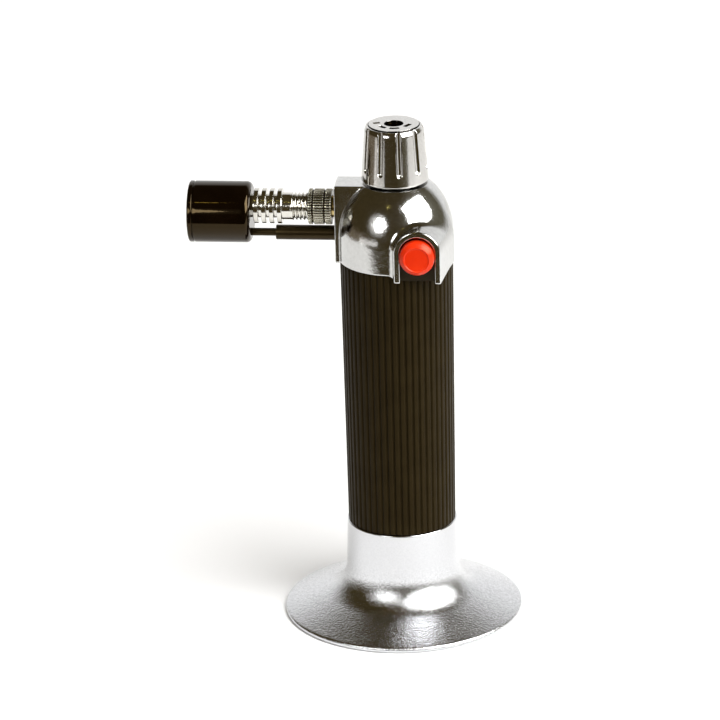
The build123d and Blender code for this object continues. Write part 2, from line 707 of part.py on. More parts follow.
def air_ring():
    """Knurled ring that screws along the tube's thread and covers or uncovers the nipple's air holes."""
    groove_half = 0.2
    groove_r = AIR_RING_R - 0.35
    outline = [(RING_BORE_R, AIR_RING_NEAR), (AIR_RING_R, AIR_RING_NEAR)]
    for middle in RING_GROOVES_AT:
        outline += [
            (AIR_RING_R, middle - groove_half),
            (groove_r, middle - groove_half),
            (groove_r, middle + groove_half),
            (AIR_RING_R, middle + groove_half),
        ]
    seal_half = RING_SEAL_R + 0.05
    seal_out = JET_SHOULDER_R + 0.05 + 2 * RING_SEAL_R + 0.05
    outline += [
        (AIR_RING_R, AIR_RING_FAR),
        (THREAD_R + 0.08, AIR_RING_FAR),
        (THREAD_R + 0.08, RING_THREAD_AT),
        (RING_BORE_R, RING_THREAD_AT),
        (RING_BORE_R, RING_SEAL_AT + seal_half),
        (seal_out, RING_SEAL_AT + seal_half),
        (seal_out, RING_SEAL_AT - seal_half),
        (RING_BORE_R, RING_SEAL_AT - seal_half),
    ]
    side = KNURL_DEPTH * sqrt(2)
    knurl = Rot(0, 0, 45) * Box(side, side, AIR_RING_FAR - AIR_RING_NEAR + 2.0)
    knurl = Pos(AIR_RING_R, 0, (AIR_RING_NEAR + AIR_RING_FAR) / 2) * knurl
    return on_burner(turned(*outline) - around(knurl, KNURL_COUNT))


def air_ring_seal():
    """O-ring in the knurled ring's bore: it travels along the nipple with the ring."""
    return on_burner(o_ring(JET_SHOULDER_R + 0.05 + RING_SEAL_R, RING_SEAL_R, RING_SEAL_AT))


def flame_holder():
    """Burner tip inside the guard: a cup with a centre hole and a ring of pilot holes."""
    near, far = TIP_AT, TIP_AT + 6.0
    cup = turned(
        (1.7, near - 1.5),
        (BURNER_BORE_R, near - 1.5),
        (BURNER_BORE_R, near),
        (4.2, near),
        (4.2, far),
        (3.6, far),
        (3.6, far - 1.0),
        (1.7, far - 1.0),
    )
    pilot = Pos(2.7, 0, near - 0.5) * rod(0.4, 0.0, far - near + 1.0)
    return on_burner(cup - around(pilot, 8))


def flame_guard():
    """Black cylinder round the burner's tip and the electrode, open at the flame end."""
    inner = GUARD_R - GUARD_WALL
    lip = 0.25
    groove_far = GUARD_FAR - 1.5
    corner = 1.6
    half = sqrt(0.5)
    outline = [
        Line((0, 0, GUARD_NEAR), (GUARD_R - corner, 0, GUARD_NEAR)),
        ThreePointArc(
            (GUARD_R - corner, 0, GUARD_NEAR),
            (GUARD_R - corner + corner * half, 0, GUARD_NEAR + corner - corner * half),
            (GUARD_R, 0, GUARD_NEAR + corner),
        ),
    ]
    rest = Polyline(
        (GUARD_R, 0, GUARD_NEAR + corner),
        (GUARD_R, 0, groove_far - 0.3),
        (GUARD_R - lip, 0, groove_far - 0.3),
        (GUARD_R - lip, 0, groove_far),
        (GUARD_R, 0, groove_far),
        (GUARD_R, 0, GUARD_FAR),
        (inner, 0, GUARD_FAR),
        (inner, 0, GUARD_NEAR + GUARD_BACK),
        (0, 0, GUARD_NEAR + GUARD_BACK),
        (0, 0, GUARD_NEAR),
    )
    guard = revolve(make_face(Wire(outline + list(rest.edges()))), Axis.Z)
    guard = on_burner(guard, GUARD_Z)
    start, end = GUARD_NEAR - 1.0, GUARD_NEAR + GUARD_BACK + 1.0
    guard = guard - on_burner(rod(FIN_CORE_R, start, end))
    return guard - on_burner(rod(ELECTRODE_R, start, end), ELECTRODE_Z)


PARTS = (
    base_stand, grip_sleeve, fuel_tank, tank_bottom_cap, tank_seal,
    fill_valve_body, fill_valve_stem, fill_valve_spring, fill_valve_seal, dip_tube, gas_filter,
    valve_body, valve_body_seal, valve_needle, valve_spindle, spindle_seal,
    head_washer, gland_nut, gas_knob, head_housing, button_guide,
    igniter_button, piezo_case, piezo_plunger, piezo_spring, piezo_crystal, ignition_lead,
    electrode_sleeve, electrode_insulator, electrode_wire, jet_holder, gas_jet,
    burner_tube, air_ring, air_ring_seal, flame_holder, flame_guard,
)

for make in PARTS:
    save(make.__name__, make())
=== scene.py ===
import json
import math

import bmesh
import bpy
import numpy as np
from mathutils import Matrix, Vector

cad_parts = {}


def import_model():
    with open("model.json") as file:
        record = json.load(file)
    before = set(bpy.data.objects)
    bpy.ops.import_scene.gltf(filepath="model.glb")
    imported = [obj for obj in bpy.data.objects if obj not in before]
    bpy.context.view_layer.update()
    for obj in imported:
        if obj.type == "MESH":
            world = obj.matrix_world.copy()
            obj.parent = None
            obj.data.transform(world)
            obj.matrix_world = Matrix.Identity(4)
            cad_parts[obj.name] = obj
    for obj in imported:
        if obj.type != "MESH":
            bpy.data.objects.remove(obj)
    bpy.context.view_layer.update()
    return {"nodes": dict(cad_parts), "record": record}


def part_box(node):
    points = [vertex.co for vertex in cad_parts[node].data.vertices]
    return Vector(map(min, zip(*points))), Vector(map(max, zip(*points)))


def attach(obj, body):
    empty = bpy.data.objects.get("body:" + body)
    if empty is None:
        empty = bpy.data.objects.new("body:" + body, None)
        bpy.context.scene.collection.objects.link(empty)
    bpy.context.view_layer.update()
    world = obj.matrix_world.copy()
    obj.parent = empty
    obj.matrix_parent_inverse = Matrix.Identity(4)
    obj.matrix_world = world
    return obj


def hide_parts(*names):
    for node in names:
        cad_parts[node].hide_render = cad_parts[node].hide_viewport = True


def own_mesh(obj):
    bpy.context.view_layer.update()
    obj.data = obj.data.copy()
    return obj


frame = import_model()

MM = 0.001


# ---- sizes from the frame, in millimetres as are all the pieces' sizes ------------
def span(node):
    """Lowest and highest corner of a CAD node, in millimetres."""
    lo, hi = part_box(node)
    return np.array(lo) / MM, np.array(hi) / MM


stand_hi = span("base_stand")[1]
grip_lo, grip_hi = span("grip_sleeve")
head_lo, head_hi = span("head_housing")
knob_lo, knob_hi = span("gas_knob")
button_lo, button_hi = span("igniter_button")
ring_lo, ring_hi = span("air_ring")
tube_lo, tube_hi = span("burner_tube")
guard_lo, guard_hi = span("flame_guard")
sleeve_lo, sleeve_hi = span("electrode_sleeve")
spindle_hi = span("valve_spindle")[1]

BURNER_Z = (ring_lo[2] + ring_hi[2]) / 2
GUARD_Z = (guard_lo[2] + guard_hi[2]) / 2
ELECTRODE_Z = (sleeve_lo[2] + sleeve_hi[2]) / 2
BUTTON_X = (button_lo[0] + button_hi[0]) / 2
BUTTON_Z = (button_lo[2] + button_hi[2]) / 2
BUTTON_R = (button_hi[0] - button_lo[0]) / 2
HEAD_R = head_hi[0]
HEAD_FOOT = grip_hi[2]
GRIP_R0 = 15.9   # the grip's radius at its foot
GRIP_R1 = 16.55  # and at its top
KNOB_LEDGE_R = 7.6  # between the knob's face and its sunk rim


# ---- mesh helpers ----------------------------------------------------------------
ARC_ALONE = 0.98   # largest part of a side that one arc may take
ARC_SHARED = 0.49  # and where both ends of the side have an arc
POLE_GAP = 1e-7    # metres
SLIVER = 1e-8      # metres


def round_corners(points, radii, steps):
    """Outline with an arc at each inner point. radii has one number for each point."""
    out = [np.array(points[0], float)]
    for i in range(1, len(points) - 1):
        before, here, after = (np.array(points[k], float) for k in (i - 1, i, i + 1))
        into, away = before - here, after - here
        into_len, away_len = np.linalg.norm(into), np.linalg.norm(away)
        into, away = into / into_len, away / away_len
        angle = math.acos(np.clip(into @ away, -1, 1))
        cut = radii[i] / math.tan(angle / 2) if radii[i] else 0.0
        cut = min(cut, into_len * (ARC_SHARED if radii[i - 1] else ARC_ALONE),
                  away_len * (ARC_SHARED if radii[i + 1] else ARC_ALONE))
        if cut < 1e-4 or abs(math.pi - angle) < 1e-3:
            out.append(here)
            continue
        a, b = here + into * cut, here + away * cut
        r = cut * math.tan(angle / 2)
        centre = here + (into + away) / np.linalg.norm(into + away) * r / math.sin(angle / 2)
        start, end = a - centre, b - centre
        for k in range(steps + 1):
            t = k / steps
            v = start * (1 - t) + end * t
            out.append(centre + v / np.linalg.norm(v) * r)
    out.append(np.array(points[-1], float))
    return np.array(out)


def refine(outline, longest):
    """Adds points so that no stretch of an outline is longer than a given length."""
    out = [outline[0]]
    for a, b in zip(outline[:-1], outline[1:]):
        n = max(1, math.ceil(np.linalg.norm(b - a) / longest))
        out += [a + (b - a) * (k + 1) / n for k in range(n)]
    return np.array(out)


def lathe(outline, segments, shape=None, closed=False):
    """Points and faces of an outline of (radius, height) points turned about Z.

    shape moves the points, given their angle, radius and height. A closed outline's last
    point joins its first.
    """
    theta = np.linspace(0, 2 * math.pi, segments, endpoint=False)
    r = np.repeat(outline[:, :1], segments, 1)
    h = np.repeat(outline[:, 1:], segments, 1)
    t = np.repeat(theta[None, :], len(outline), 0)
    if shape:
        r, h = shape(t, r, h)
    verts = np.stack([r * np.cos(t), r * np.sin(t), h], -1).reshape(-1, 3)
    rows = len(outline)
    faces = []
    for i in range(rows if closed else rows - 1):
        a = i * segments + np.arange(segments)
        b = (i + 1) % rows * segments + np.arange(segments)
        faces.append(np.stack([a, np.roll(a, -1), np.roll(b, -1), b], -1))
    return verts, np.concatenate(faces)


def along_burner(z):
    """Turns points made about Z so that their height runs along -X, on an axis at height z."""
    def place(p):
        return np.stack([-p[:, 2], p[:, 1], p[:, 0] + z], -1)
    return place


def facing_front(x, z):
    """Turns points made about Z so that their height runs along Y, on an axis at x, z."""
    def place(p):
        return np.stack([p[:, 0] + x, p[:, 2], z - p[:, 1]], -1)
    return place


def outward(verts, faces):
    """Faces turned so that their normals point out of the solid."""
    a, b, c, d = (verts[faces[:, k]] for k in range(4))
    volume = np.einsum("ij,ij->i", a, np.cross(b, c) + np.cross(c, d)).sum()
    return faces if volume > 0 else faces[:, ::-1]


def piece(name, verts, faces, body, slot, stands_for, look=None, sharp=None, normals=None):
    """A mesh piece made from points in millimetres. It looks like its slot unless look is given."""
    mesh = bpy.data.meshes.new(name)
    faces = outward(verts, faces)
    mesh.from_pydata((verts * MM).tolist(), [], faces.tolist())
    mesh.validate()
    if normals is None:
        merge_poles(mesh)
    mesh.polygons.foreach_set("use_smooth", [True] * len(mesh.polygons))
    if sharp is not None:
        mesh.set_sharp_from_angle(angle=math.radians(sharp))
    if normals is not None:
        mesh.normals_split_custom_set_from_vertices(normals.tolist())
    obj = bpy.data.objects.new(name, mesh)
    bpy.context.scene.collection.objects.link(obj)
    mesh.materials.append(MATERIALS[look or slot])
    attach(obj, body)
    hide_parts(*stands_for)
    return obj


def merge_poles(mesh):
    """Joins the points that a lathe leaves on its axis."""
    bm = bmesh.new()
    bm.from_mesh(mesh)
    bmesh.ops.remove_doubles(bm, verts=bm.verts, dist=POLE_GAP)
    bmesh.ops.dissolve_degenerate(bm, dist=SLIVER, edges=bm.edges)
    bm.to_mesh(mesh)
    bm.free()


def net(field, lo, hi, step):
    """Surface-net mesh of the zero level of a field, with its points moved onto the surface."""
    axes = [np.arange(l, h + step, step) for l, h in zip(lo, hi)]
    grid = np.meshgrid(*axes, indexing="ij")
    f = field(*grid)
    inside = f < 0
    shape = [n - 1 for n in f.shape]
    total = np.zeros(shape + [3])
    count = np.zeros(shape)
    quads = []
    cell_id = np.arange(np.prod(shape)).reshape(shape)
    for axis in range(3):
        front = [slice(None)] * 3
        back = [slice(None)] * 3
        front[axis] = slice(0, -1)
        back[axis] = slice(1, None)
        f0, f1 = f[tuple(front)], f[tuple(back)]
        cross = inside[tuple(front)] != inside[tuple(back)]
        t = np.where(cross, f0 / np.where(cross, f0 - f1, 1.0), 0.0)
        point = np.stack([g[tuple(front)] for g in grid], -1)
        point[..., axis] += t * step
        point *= cross[..., None]
        u, v = [k for k in range(3) if k != axis]
        for du in (0, 1):
            for dv in (0, 1):
                part = [slice(None)] * 3
                part[u] = slice(du, f.shape[u] - 1 + du)
                part[v] = slice(dv, f.shape[v] - 1 + dv)
                total += point[tuple(part)]
                count += cross[tuple(part)]
        idx = np.argwhere(cross)
        inner = (idx[:, u] > 0) & (idx[:, u] < f.shape[u] - 1)
        inner &= (idx[:, v] > 0) & (idx[:, v] < f.shape[v] - 1)
        idx = idx[inner]
        corners = []
        for du, dv in ((1, 1), (0, 1), (0, 0), (1, 0)):
            c = idx.copy()
            c[:, u] -= du
            c[:, v] -= dv
            corners.append(cell_id[tuple(c.T)])
        quad = np.stack(corners, -1)
        goes_in = inside[tuple(idx.T)] == (axis != 1)
        quad[~goes_in] = quad[~goes_in][:, ::-1]
        quads.append(quad)
    quads = np.concatenate(quads)
    used, faces = np.unique(quads, return_inverse=True)
    faces = faces.reshape(quads.shape)
    verts = total.reshape(-1, 3)[used] / count.reshape(-1)[used][:, None]
    for _ in range(3):  # steps towards the surface
        value, slope = field_slope(field, verts)
        move = value[:, None] * slope / np.maximum((slope**2).sum(1), 1e-9)[:, None]
        verts = verts - np.clip(move, -0.5 * step, 0.5 * step)
    _, slope = field_slope(field, verts)
    normals = slope / np.linalg.norm(slope, axis=1)[:, None]
    return verts, faces, normals


def field_slope(field, p, e=0.01):
    """Value and gradient of a field at a list of points."""
    value = field(p[:, 0], p[:, 1], p[:, 2])
    slope = []
    for axis in range(3):
        q = p.copy()
        q[:, axis] += e
        up = field(q[:, 0], q[:, 1], q[:, 2])
        q[:, axis] -= 2 * e
        slope.append((up - field(q[:, 0], q[:, 1], q[:, 2])) / (2 * e))
    return value, np.stack(slope, -1)


def soft_max(a, b, r):
    """Intersection of two fields with its edge rounded to radius r."""
    return np.maximum(a, b) + np.maximum(r - np.abs(a - b), 0) ** 2 / (4 * r)


def soft_min(a, b, r):
    """Union of two fields with a fillet of about radius r."""
    return -soft_max(-a, -b, r)


# ---- materials --------------------------------------------------------------------
CHROME_GLOSS_GRAIN = 320   # of the uneven gloss on chrome, per metre
NOISE_SPAN = (0.35, 0.65)  # most of a noise lies between these


def colour(c):
    """A grey or an RGB colour with full alpha."""
    return (c, c, c, 1.0) if isinstance(c, (int, float)) else (*c, 1.0)


class Nodes:
    """Small helper that builds nodes in one tree."""

    def __init__(self, tree):
        self.tree = tree

    def node(self, kind, **settings):
        n = self.tree.nodes.new(kind)
        for key, value in settings.items():
            setattr(n, key, value)
        return n

    def feed(self, target, value):
        """Links a socket to another node's output, or sets it to a constant."""
        if isinstance(value, bpy.types.NodeSocket):
            self.tree.links.new(value, target)
        else:
            target.default_value = value

    def maths(self, operation, a, b):
        n = self.node("ShaderNodeMath", operation=operation)
        self.feed(n.inputs[0], a)
        self.feed(n.inputs[1], b)
        return n.outputs["Value"]

    def map_range(self, source, start, end, low=0.0, high=1.0, **settings):
        """Maps a value between start and end to one between low and high."""
        n = self.node("ShaderNodeMapRange", **settings)
        self.feed(n.inputs["Value"], source)
        for key, value in (("From Min", start), ("From Max", end), ("To Min", low), ("To Max", high)):
            n.inputs[key].default_value = value
        return n.outputs["Result"]

    def mix(self, factor, a, b):
        """Mixes two colours, each a constant or another node's output."""
        n = self.node("ShaderNodeMix", data_type="RGBA")
        self.feed(n.inputs["Factor"], factor)
        for key, value in (("A", a), ("B", b)):
            self.feed(n.inputs[key], value if isinstance(value, bpy.types.NodeSocket) else colour(value))
        return n.outputs["Result"]


class Shader(Nodes):
    """One material: a principled shader with procedural colour, roughness and bump."""

    def __init__(self, name):
        self.mat = bpy.data.materials.new(name)
        self.mat.use_nodes = True
        super().__init__(self.mat.node_tree)
        self.bsdf = next(n for n in self.tree.nodes if n.type == "BSDF_PRINCIPLED")
        self.coords = self.node("ShaderNodeTexCoord").outputs["Object"]

    def set(self, **sockets):
        """Sets constants on the shader's own sockets."""
        for key, value in sockets.items():
            self.bsdf.inputs[key.replace("_", " ")].default_value = value

    def noise(self, scale, detail=4.0, rough=0.5, stretch=(1, 1, 1)):
        mapping = self.node("ShaderNodeMapping")
        self.feed(mapping.inputs["Scale"], stretch)
        self.feed(mapping.inputs["Vector"], self.coords)
        n = self.node("ShaderNodeTexNoise")
        for key, value in (("Scale", scale), ("Detail", detail), ("Roughness", rough),
                           ("Vector", mapping.outputs["Vector"])):
            self.feed(n.inputs[key], value)
        return n.outputs["Fac"]

    def ramp(self, source, low, high):
        """Maps a noise to colours, or greys, between two."""
        n = self.node("ShaderNodeValToRGB")
        for stop, position, shade in zip(n.color_ramp.elements, NOISE_SPAN, (low, high)):
            stop.position = position
            stop.color = colour(shade)
        self.feed(n.inputs["Fac"], source)
        return n.outputs["Color"]

    def height(self):
        """Height above the floor, in metres."""
        n = self.node("ShaderNodeSeparateXYZ")
        self.feed(n.inputs["Vector"], self.coords)
        return n.outputs["Z"]

    def axis_distance(self, across, z=0.0):
        """Distance, in metres, from an axis at height z. across is 1 in the directions across it."""
        value = self.coords
        for operation, vector in (("SUBTRACT", (0, 0, z)), ("MULTIPLY", across)):
            n = self.node("ShaderNodeVectorMath", operation=operation)
            self.feed(n.inputs[0], value)
            self.feed(n.inputs[1], vector)
            value = n.outputs["Vector"]
        n = self.node("ShaderNodeVectorMath", operation="LENGTH")
        self.feed(n.inputs[0], value)
        return n.outputs["Value"]

    def paint(self, source):
        self.feed(self.bsdf.inputs["Base Color"], source)

    def gloss(self, scale, detail, low, high):
        """Uneven roughness between two values."""
        self.feed(self.bsdf.inputs["Roughness"], self.map_range(self.noise(scale, detail), 0.0, 1.0, low, high))

    def bump(self, *layers):
        """Stacks bumps. Each layer is (height socket, strength, distance in metres)."""
        normal = None
        for height, strength, distance in layers:
            n = self.node("ShaderNodeBump")
            for key, value in (("Strength", strength), ("Distance", distance), ("Height", height)):
                self.feed(n.inputs[key], value)
            if normal:
                self.feed(n.inputs["Normal"], normal)
            normal = n.outputs["Normal"]
        self.feed(self.bsdf.inputs["Normal"], normal)


def metal(name):
    s = Shader(name)
    s.set(Metallic=1.0)
    return s


def chrome(name, dark, light, rough_low, rough_high, waves, wave_depth, grain, grain_depth):
    """Chrome plate: slightly uneven tone and gloss, long shallow waves and a fine grain."""
    s = metal(name)
    s.paint(s.ramp(s.noise(grain, 3, 0.6), dark, light))
    s.gloss(CHROME_GLOSS_GRAIN, 6, rough_low, rough_high)
    s.bump((s.noise(waves, 2), 1.0, wave_depth), (s.noise(grain, 3, 0.6), 1.0, grain_depth))
    return s.mat


def satin_chrome():
    """Satin plate with a speckle on the flare that fades out up the collar."""
    flare_z, collar_z = 0.010, 0.020
    s = metal("satin_chrome")
    fade = s.map_range(s.height(), flare_z, collar_z, 1.0, 0.25)
    speckle = s.noise(1700, 3, 0.65)
    flecks = s.ramp(speckle, (0.54, 0.545, 0.56), (0.71, 0.715, 0.73))
    s.paint(s.mix(fade, (0.60, 0.605, 0.62), flecks))
    s.gloss(CHROME_GLOSS_GRAIN, 6, 0.08, 0.14)
    s.bump((s.noise(130, 2), 1.0, 0.00002), (speckle, fade, 0.00015))
    return s.mat


def nickel_plate():
    """Nickel with fine marks round the tube."""
    s = metal("nickel_plate")
    s.paint(s.ramp(s.noise(300, 4), (0.56, 0.54, 0.49), (0.68, 0.665, 0.62)))
    s.gloss(700, 5, 0.07, 0.16)
    s.bump((s.noise(1200, 4, 0.6, (12, 1, 1)), 0.05, 0.00004))
    return s.mat


def knurled_nickel():
    """Nickel with painted shade low in the knurling."""
    s = metal("knurled_nickel")
    plate = s.ramp(s.noise(700, 5), (0.42, 0.40, 0.32), (0.58, 0.56, 0.47))
    ridge = (ring_hi[2] - ring_lo[2]) / 2
    from_axis = s.axis_distance((0, 1, 1), BURNER_Z * MM)
    unshaded = s.map_range(from_axis, (ridge - 0.30) * MM, (ridge - 0.08) * MM)
    # painted shade: near-black colour low in the knurl's grooves, plain nickel on the ridges
    s.paint(s.mix(unshaded, (0.060, 0.050, 0.030), plate))
    s.gloss(900, 4, 0.18, 0.30)
    s.bump((s.noise(1500, 4), 0.3, 0.00004))
    return s.mat


def knob_chrome():
    """Chrome with painted shade in the sunk marks and hole of the knob's top and on its sunk ledge."""
    s = metal("knob_chrome")
    plate = s.ramp(s.noise(1800, 3, 0.6), (0.53, 0.52, 0.50), (0.61, 0.60, 0.58))
    # past the ledge a metre is added to the height, so the rim and the sides stay free of the painted shade
    past_ledge = s.maths("GREATER_THAN", s.axis_distance((1, 1, 0)), KNOB_LEDGE_R * MM)
    level = s.maths("ADD", s.height(), past_ledge)
    top = knob_hi[2] * MM
    unshaded = s.map_range(level, top - 0.12 * MM, top - 0.02 * MM)
    # painted shade: near-black where the top lies below the face, fading in from 0.02 mm to 0.12 mm down
    s.paint(s.mix(unshaded, (0.010, 0.008, 0.005), plate))
    s.gloss(CHROME_GLOSS_GRAIN, 6, 0.08, 0.16)
    s.bump((s.noise(240, 2), 1.0, 0.00002), (s.noise(1800, 3, 0.6), 1.0, 0.000012))
    return s.mat


def brass():
    s = metal("brass")
    s.paint(s.ramp(s.noise(500, 5), (0.40, 0.30, 0.12), (0.58, 0.46, 0.23)))
    s.gloss(900, 5, 0.15, 0.32)
    s.bump((s.noise(1400, 4), 0.15, 0.00005))
    return s.mat


def spring_steel():
    s = metal("spring_steel")
    s.paint(s.ramp(s.noise(800, 4), (0.45, 0.45, 0.46), (0.66, 0.66, 0.67)))
    s.gloss(900, 4, 0.22, 0.40)
    s.bump((s.noise(2400, 4), 0.2, 0.00003))
    return s.mat


def plastic(name, dark, light, rough_low, rough_high, grain, depth, specular=0.5, tint=(1.0, 1.0, 1.0)):
    """Moulded plastic or rubber: mottled colour, uneven gloss and a fine grain."""
    s = Shader(name)
    s.set(Specular_IOR_Level=specular, Specular_Tint=colour(tint))
    s.paint(s.ramp(s.noise(140, 5), dark, light))
    s.gloss(420, 6, rough_low, rough_high)
    s.bump((s.noise(grain, 4, 0.6), 0.35, depth), (s.noise(160, 3), 0.10, 0.0002))
    return s.mat


MATERIALS = {
    "satin_chrome": satin_chrome(),
    "polished_chrome": chrome("polished_chrome", (0.54, 0.535, 0.52), (0.61, 0.605, 0.59), 0.03, 0.09,
                              240, 0.00002, 2600, 0.0000025),
    "knob_chrome": knob_chrome(),
    "cast_chrome": chrome("cast_chrome", (0.54, 0.54, 0.53), (0.61, 0.61, 0.60), 0.06, 0.18,
                          200, 0.00002, 1100, 0.00003),
    "nickel_plate": nickel_plate(),
    "knurled_nickel": knurled_nickel(),
    "brass": brass(),
    "spring_steel": spring_steel(),
}
PLASTICS = {
    "black_grip": ((0.009, 0.0058, 0.0016), (0.013, 0.0088, 0.0028), 0.42, 0.58,
                   3200, 0.00004, 0.13, (1.0, 0.74, 0.35)),
    "black_plastic": ((0.006, 0.0045, 0.0025), (0.010, 0.008, 0.005), 0.4, 0.55,
                      3000, 0.00003, 0.3, (1.0, 0.8, 0.5)),
    "black_insulator": ((0.004, 0.0025, 0.0008), (0.007, 0.0045, 0.0018), 0.26, 0.38,
                        2400, 0.00002, 0.34, (1.0, 0.72, 0.32)),
    "black_enamel": ((0.0020, 0.0009, 0.0003), (0.0034, 0.0016, 0.0006), 0.02, 0.05,
                     900, 0.000005, 0.30, (1.0, 0.72, 0.36)),
    "orange_plastic": ((0.70, 0.026, 0.003), (0.76, 0.034, 0.005), 0.20, 0.30,
                       2600, 0.00002, 0.32, (1.0, 0.7, 0.5)),
    "tank_plastic": ((0.48, 0.48, 0.45), (0.58, 0.58, 0.55), 0.4, 0.55, 2000, 0.00003),
    "white_plastic": ((0.74, 0.74, 0.70), (0.84, 0.84, 0.81), 0.4, 0.55, 2000, 0.00003),
    "seal_rubber": ((0.010, 0.010, 0.010), (0.022, 0.022, 0.022), 0.55, 0.75, 3000, 0.00004),
    "lead_rubber": ((0.20, 0.012, 0.012), (0.28, 0.022, 0.020), 0.45, 0.6, 2400, 0.00003),
    "piezo_ceramic": ((0.62, 0.58, 0.46), (0.72, 0.68, 0.56), 0.45, 0.6, 2600, 0.00004),
}
for slot_name, look_values in PLASTICS.items():
    MATERIALS[slot_name] = plastic(slot_name, *look_values)


def dress_cad_nodes():
    """Gives every CAD node the material of its slot."""
    slots = {s["node"]: s["material_slot"] for s in frame["record"]["subparts"]}
    for name, obj in frame["nodes"].items():
        obj.data.materials.clear()
        obj.data.materials.append(MATERIALS[slots[name]])


dress_cad_nodes()


# ---- stand ------------------------------------------------------------------------
FLARE_SLOPE = math.radians(20.0)
FLARE_FILLET = 10.0
STAND_WALL = 1.5
COLLAR_R = 16.75
COLLAR_TOP_R = 16.3
COLLAR_BORE_R = 14.9
BEAD_R = 0.85
REST_R = 32.9
WEB_Z = 13.0
WEB_T = 1.5
WEB_HOLE_R = 8.0


def arc(cx, cz, r, start, end, steps):
    """Points of an arc, with angles in radians."""
    a = np.linspace(start, end, steps + 1)
    return np.stack([cx + r * np.cos(a), cz + r * np.sin(a)], -1)


def stand_outline():
    """Stand's section, from the rest ring round the outside and back along the underside."""
    bead_mid = stand_hi[0] - BEAD_R
    fillet_x = COLLAR_R + FLARE_FILLET
    rise = FLARE_FILLET + BEAD_R + (bead_mid - fillet_x) * math.sin(FLARE_SLOPE)
    fillet_z = BEAD_R + rise / math.cos(FLARE_SLOPE)
    touch = -math.pi / 2 - FLARE_SLOPE
    bead = arc(bead_mid, BEAD_R, BEAD_R, -math.pi / 2, math.pi / 2 - FLARE_SLOPE, 14)
    flare = arc(fillet_x, fillet_z, FLARE_FILLET, touch, -math.pi, 24)
    collar = round_corners(
        [flare[-1], (COLLAR_TOP_R, stand_hi[2]), (COLLAR_BORE_R, stand_hi[2]),
         (COLLAR_BORE_R, WEB_Z + WEB_T), (WEB_HOLE_R, WEB_Z + WEB_T), (WEB_HOLE_R, WEB_Z),
         (fillet_x - FLARE_FILLET - STAND_WALL, WEB_Z)],
        [0, 0.35, 0.2, 0.2, 0.2, 0.2, 0], 4)[:-1]
    inner = FLARE_FILLET + STAND_WALL
    web_angle = -math.pi + math.asin((fillet_z - WEB_Z) / inner)
    under = arc(fillet_x, fillet_z, inner, web_angle, touch, 20)
    under_foot = under[-1] + (REST_R - under[-1][0]) * np.array([1, -math.tan(FLARE_SLOPE)])
    return np.concatenate([[(REST_R, 0.0)], bead, flare, collar[1:], under, [under_foot]])


def stand():
    verts, faces = lathe(refine(stand_outline(), 0.8), 288, closed=True)
    piece("base_stand_flare", verts, faces, "torch", "satin_chrome", ["base_stand"], sharp=40)


stand()


# ---- grip -------------------------------------------------------------------------
RIB_COUNT = 51
RIB_DEPTH = 0.5
RIB_CREST = 0.45  # part of the pitch that a rib's crest takes
RIB_PHASE = math.radians(9.0 - 90.0)
RIB_FROM_R = 14.6  # the ribs fade in over a millimetre from here out
RIB_MESH = 16  # points across one rib
GRIP_BORE_R = COLLAR_TOP_R - 2.3


def ribs(t, r, h):
    """Rounded ribs with narrow valleys on the outside of the sleeve, and a slightly wavy foot."""
    count = (t - RIB_PHASE) * RIB_COUNT / (2 * math.pi)
    across = np.abs((count + 0.5) % 1.0 - 0.5) * 2
    valley = np.clip((across - RIB_CREST) / (1 - RIB_CREST), 0, 1)
    valley = valley * valley * (3 - 2 * valley)
    outside = np.clip(r - RIB_FROM_R, 0, 1)
    ends = np.clip((h - grip_lo[2]) / 0.5, 0, 1) * 0.25 + 0.75
    wobble = 0.12 * np.sin(3 * t + 0.8) + 0.07 * np.sin(7 * t)
    h = h + np.where(h < grip_lo[2] + 1.0, np.maximum(wobble, 0.0) * outside, 0.0)
    return r - RIB_DEPTH * valley * outside * ends, h


def grip():
    outline = round_corners(
        [(GRIP_BORE_R, grip_lo[2]), (GRIP_R0, grip_lo[2]), (GRIP_R1, grip_hi[2]), (GRIP_BORE_R, grip_hi[2])],
        [0, 0.3, 0.3, 0], 4)
    verts, faces = lathe(refine(outline, 4.0), RIB_COUNT * RIB_MESH, ribs, closed=True)
    piece("grip_ribs", verts, faces, "torch", "black_grip", ["grip_sleeve"], sharp=55)


grip()


# ---- head -------------------------------------------------------------------------
DOME_Z = 119.0
DOME_RISE = 19.5
DOME_TOP_Z = 134.0
DROP = 0.2            # how much the dome's top is lowered,
DROP_FROM_Z = 129.5   # from this height up
DROP_OVER = 4.5
NECK_R = 9.9
NECK_RISE = 3.0
HEAD_WALL = 1.9
HEAD_TOP_WALL = 2.2
HEAD_FOOT_WALL = 2.0
HEAD_BORE_R = 14.0
HEAD_BORE_TOP = 113.4
GRIP_GAP = 0.03
BLOCK_INNER_X = -4.0
BLOCK_HALF_Y = 5.0
BLOCK_TOP = 134.4
BLOCK_FOOT = 110.8
BLOCK_EDGE = 0.25
BOSS_R = 6.8
BOSS_DRAFT = 0.18
BOSS_INNER_R = 5.1
BOSS_ARCH_Z = 118.65
BOSS_FOOT_SLOPE = 0.14
POCKET_Y = -8.0
SPINDLE_BORE_R = 4.1
JET_BORE_R = 3.3
WIRE_BORE_R = 2.15
SIDE_BORE_X = -8.0
NECK_FILLET = 0.1
TOP_EDGE = 0.1
FOOT_EDGE = 0.35
BLOCK_FILLET = 0.2
BLOCK_TOP_EDGE = 0.85
BLOCK_FOOT_EDGE = 0.4
BOSS_FILLET = 1.8
BOSS_FRONT_EDGE = 0.4
BOSS_FOOT_EDGE = 0.5
POCKET_EDGE = 0.25
BORE_EDGE = 0.3
HEAD_CELL = 0.24  # size of the mesh's cells


